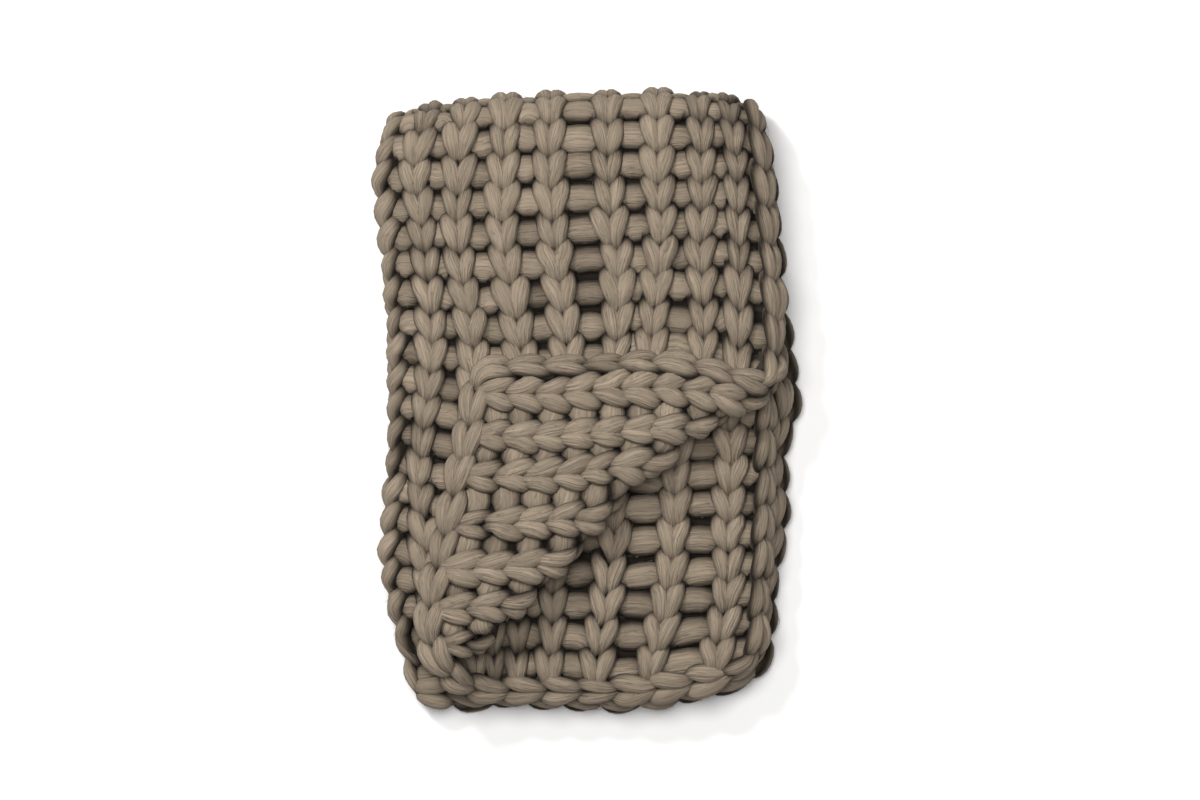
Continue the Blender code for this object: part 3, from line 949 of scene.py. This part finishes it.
def wool_material():
    """Thick unspun wool: long fine fibres along the yarn, loose bundles and a soft sheen, with
    painted shade on yarn deep between stitches and in the lines between bundles.
    """
    material = bpy.data.materials.new("taupe_wool_yarn")
    material.use_nodes = True
    nodes = material.node_tree.nodes
    links = material.node_tree.links
    shader = nodes["Principled BSDF"]

    def add(kind, **values):
        node = nodes.new(kind)
        for key, value in values.items():
            setattr(node, key, value)
        return node

    def math_node(operation, a, b=None):
        node = add("ShaderNodeMath", operation=operation)
        for slot, value in zip(node.inputs, (a, b)):
            if value is None:
                continue
            if isinstance(value, float):
                slot.default_value = value
            else:
                links.new(value, slot)
        return node.outputs[0]

    uv = add("ShaderNodeUVMap", uv_map="yarn")
    split = add("ShaderNodeSeparateXYZ")
    links.new(uv.outputs[0], split.inputs[0])
    turn = math_node("MULTIPLY", split.outputs[0], 2 * math.pi)
    cosine = math_node("COSINE", turn)
    sine = math_node("SINE", turn)

    def fibre_noise(around, along, detail):
        place = add("ShaderNodeCombineXYZ")
        links.new(math_node("MULTIPLY", cosine, around), place.inputs[0])
        links.new(math_node("MULTIPLY", sine, around), place.inputs[1])
        links.new(math_node("MULTIPLY", split.outputs[1], along), place.inputs[2])
        noise = add("ShaderNodeTexNoise")
        noise.inputs["Scale"].default_value = 1.0
        noise.inputs["Detail"].default_value = detail
        noise.inputs["Roughness"].default_value = 0.65
        links.new(place.outputs[0], noise.inputs["Vector"])
        return noise.outputs["Fac"]

    fibres = fibre_noise(around=9.0, along=20.0, detail=5.0)
    bundles = fibre_noise(around=2.6, along=9.0, detail=3.0)
    patches = fibre_noise(around=0.35, along=7.0, detail=2.0)

    fibre_tone = math_node("MULTIPLY", fibres, FIBRE_SHARE)
    tone = math_node("ADD", fibre_tone, math_node("MULTIPLY", bundles, BUNDLE_SHARE))
    tone = math_node("ADD", tone, math_node("MULTIPLY", patches, PATCH_SHARE))
    ramp = add("ShaderNodeValToRGB")
    for stop, place, colour in zip(ramp.color_ramp.elements, TONE_RANGE, (WOOL_DARK, WOOL_LIGHT)):
        stop.position = place
        stop.color = colour
    links.new(tone, ramp.inputs[0])

    # Thin dark lines of painted shade where one bundle of fibres lies against the next, over a
    # shallow bump groove there.
    off_line = math_node("ABSOLUTE", math_node("SUBTRACT", bundles, 0.5))
    line = add("ShaderNodeMapRange", interpolation_type="SMOOTHSTEP")
    line.inputs["From Max"].default_value = LINE_WIDTH
    line.inputs["To Min"].default_value = 1.0
    line.inputs["To Max"].default_value = 0.0
    links.new(off_line, line.inputs["Value"])
    line_shaded = add("ShaderNodeMix", data_type="RGBA", blend_type="MULTIPLY")
    links.new(math_node("MULTIPLY", line.outputs[0], LINE_SHADE_STRENGTH), line_shaded.inputs["Factor"])
    links.new(ramp.outputs[0], line_shaded.inputs["A"])
    line_shaded.inputs["B"].default_value = WOOL_LINE_SHADE

    # Painted shade: yarn that lies deep between its neighbours is darkened towards a near-black
    # colour by the height stored with each vertex, in place of the shade that falls there.
    shade_height = add("ShaderNodeAttribute", attribute_name="shade_height")
    depth = add("ShaderNodeMapRange", interpolation_type="SMOOTHSTEP")
    depth.inputs["From Min"].default_value = FULL_SHADE_HEIGHT
    depth.inputs["From Max"].default_value = NO_SHADE_HEIGHT
    depth.inputs["To Min"].default_value = 1.0
    depth.inputs["To Max"].default_value = 0.0
    links.new(shade_height.outputs["Fac"], depth.inputs["Value"])
    shaded = add("ShaderNodeMix", data_type="RGBA", blend_type="MULTIPLY")
    links.new(depth.outputs[0], shaded.inputs["Factor"])
    links.new(line_shaded.outputs["Result"], shaded.inputs["A"])
    shaded.inputs["B"].default_value = PAINTED_DEEP_SHADE
    links.new(shaded.outputs["Result"], shader.inputs["Base Color"])

    fine = add("ShaderNodeBump")
    fine.inputs["Strength"].default_value = BUMP_STRENGTH
    fine.inputs["Distance"].default_value = FIBRE_BUMP
    links.new(fibres, fine.inputs["Height"])
    coarse = add("ShaderNodeBump")
    coarse.inputs["Strength"].default_value = BUMP_STRENGTH
    coarse.inputs["Distance"].default_value = BUNDLE_BUMP
    groove = math_node("MULTIPLY", line.outputs[0], LINE_GROOVE)
    links.new(math_node("SUBTRACT", bundles, groove), coarse.inputs["Height"])
    links.new(fine.outputs[0], coarse.inputs["Normal"])
    links.new(coarse.outputs[0], shader.inputs["Normal"])

    shader.inputs["Roughness"].default_value = 0.92
    shader.inputs["Specular IOR Level"].default_value = 0.15
    shader.inputs["Sheen Weight"].default_value = 0.03
    shader.inputs["Sheen Roughness"].default_value = 0.45
    return material


def core_material():
    """The deep inner side of the cloth, seen only between stitches: the same wool, painted
    near-black as painted shade for the gaps.
    """
    material = bpy.data.materials.new("taupe_wool_inside_painted_shade")
    material.use_nodes = True
    nodes = material.node_tree.nodes
    shader = nodes["Principled BSDF"]
    noise = nodes.new("ShaderNodeTexNoise")
    noise.inputs["Scale"].default_value = 180.0
    noise.inputs["Detail"].default_value = 3.0
    ramp = nodes.new("ShaderNodeValToRGB")
    ramp.color_ramp.elements[0].color = INSIDE_SHADE_DARK
    ramp.color_ramp.elements[1].color = INSIDE_SHADE_LIGHT
    material.node_tree.links.new(noise.outputs["Fac"], ramp.inputs[0])
    material.node_tree.links.new(ramp.outputs[0], shader.inputs["Base Color"])
    shader.inputs["Roughness"].default_value = 0.95
    return material


def build_blanket():
    """All of the blanket's pieces: its stitches, layer by layer, on the cloth's inner sheet."""
    wool = wool_material()
    rows = np.arange(FIRST_STITCH_ROW, LAST_STITCH_ROW)
    top_rows = rows[rows < OUTER_TURN_ROW]
    corner_rows = rows[rows < LAST_CORNER_ROW]
    second_rows = rows[rows < INNER_TURN_ROW]
    third_rows = rows[rows >= INNER_TURN_ROW]
    bottom_rows = rows[rows >= OUTER_TURN_ROW]
    tubes = {
        "knit_top": knit((1, FOLD_RIB + 1), top_rows, 1, before_crease, FINE_TUBE, seed=1),
        "knit_corner": knit((0.5, 8.5), corner_rows, -1, after_crease, FINE_TUBE, seed=2),
        "knit_second": knit((10.5, 17.5), second_rows, -1, everywhere, CLOSE_TUBE, seed=5),
        "knit_third": knit((10, 17), third_rows, 1, everywhere, THIRD_TUBE, seed=8),
        "knit_bottom": knit((1, FOLD_RIB), bottom_rows, 1, everywhere, BOTTOM_TUBE, seed=11),
        "edge_chain": edge_chain(FINE_TUBE, seed=14),
    }
    tubes["knit_bottom"] = seen_from_both(tubes["knit_bottom"])
    pieces = [make_piece(name, tube, wool) for name, tube in tubes.items()]
    fuzz = [build_fuzz(tubes[name], count, seed=count) for name, count in FUZZ_COUNTS.items()]
    pieces.append(make_piece("stray_fibres", join_tubes(fuzz), wool))

    # The inner sheet wears the near-black painted shade.
    core = build_core(core_material())
    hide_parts("blanket")
    return pieces + [core]


def build_stage():
    """A plain white floor, soft light from the upper left, and a camera straight above."""
    mesh = bpy.data.meshes.new("floor")
    corners = [(x * FLOOR_REACH, y * FLOOR_REACH, 0)
               for x, y in ((-1, -1), (1, -1), (1, 1), (-1, 1))]
    mesh.from_pydata(corners, [], [(0, 1, 2, 3)])
    floor = bpy.data.objects.new("floor", mesh)
    bpy.context.scene.collection.objects.link(floor)
    material = bpy.data.materials.new("white_floor")
    material.use_nodes = True
    shader = material.node_tree.nodes["Principled BSDF"]
    shader.inputs["Base Color"].default_value = FLOOR_COLOUR
    shader.inputs["Roughness"].default_value = 0.9
    mesh.materials.append(material)

    world = bpy.data.worlds.new("studio")
    bpy.context.scene.world = world
    world.use_nodes = True
    background = world.node_tree.nodes["Background"]
    background.inputs["Color"].default_value = (1, 1, 1, 1)
    background.inputs["Strength"].default_value = WORLD_STRENGTH

    for name, place, size, power, colour in LIGHTS:
        data = bpy.data.lights.new(name, "AREA")
        data.shape = "DISK"
        data.size = size
        data.energy = power
        data.color = colour
        light = bpy.data.objects.new(name, data)
        light.location = place
        aim = Vector(LIGHTS_AIM) - Vector(place)
        light.rotation_euler = aim.to_track_quat("-Z", "Y").to_euler()
        bpy.context.scene.collection.objects.link(light)

    camera_data = bpy.data.cameras.new("camera")
    camera_data.lens = LENS
    camera_data.sensor_width = SENSOR_WIDTH
    camera = bpy.data.objects.new("camera", camera_data)
    width = PHOTO_WIDTH * MM_PER_PIXEL * MM
    height = width * camera_data.lens / camera_data.sensor_width + TOP_LAYER_Z * MM
    right = (PHOTO_MIDDLE[0] - BLANKET_MIDDLE[0]) * MM_PER_PIXEL * MM
    up = (BLANKET_MIDDLE[1] - PHOTO_MIDDLE[1]) * MM_PER_PIXEL * MM
    camera.location = (right, up, height)
    bpy.context.scene.collection.objects.link(camera)
    bpy.context.scene.camera = camera
    bpy.context.scene.view_settings.view_transform = "Standard"


build_blanket()
build_stage()
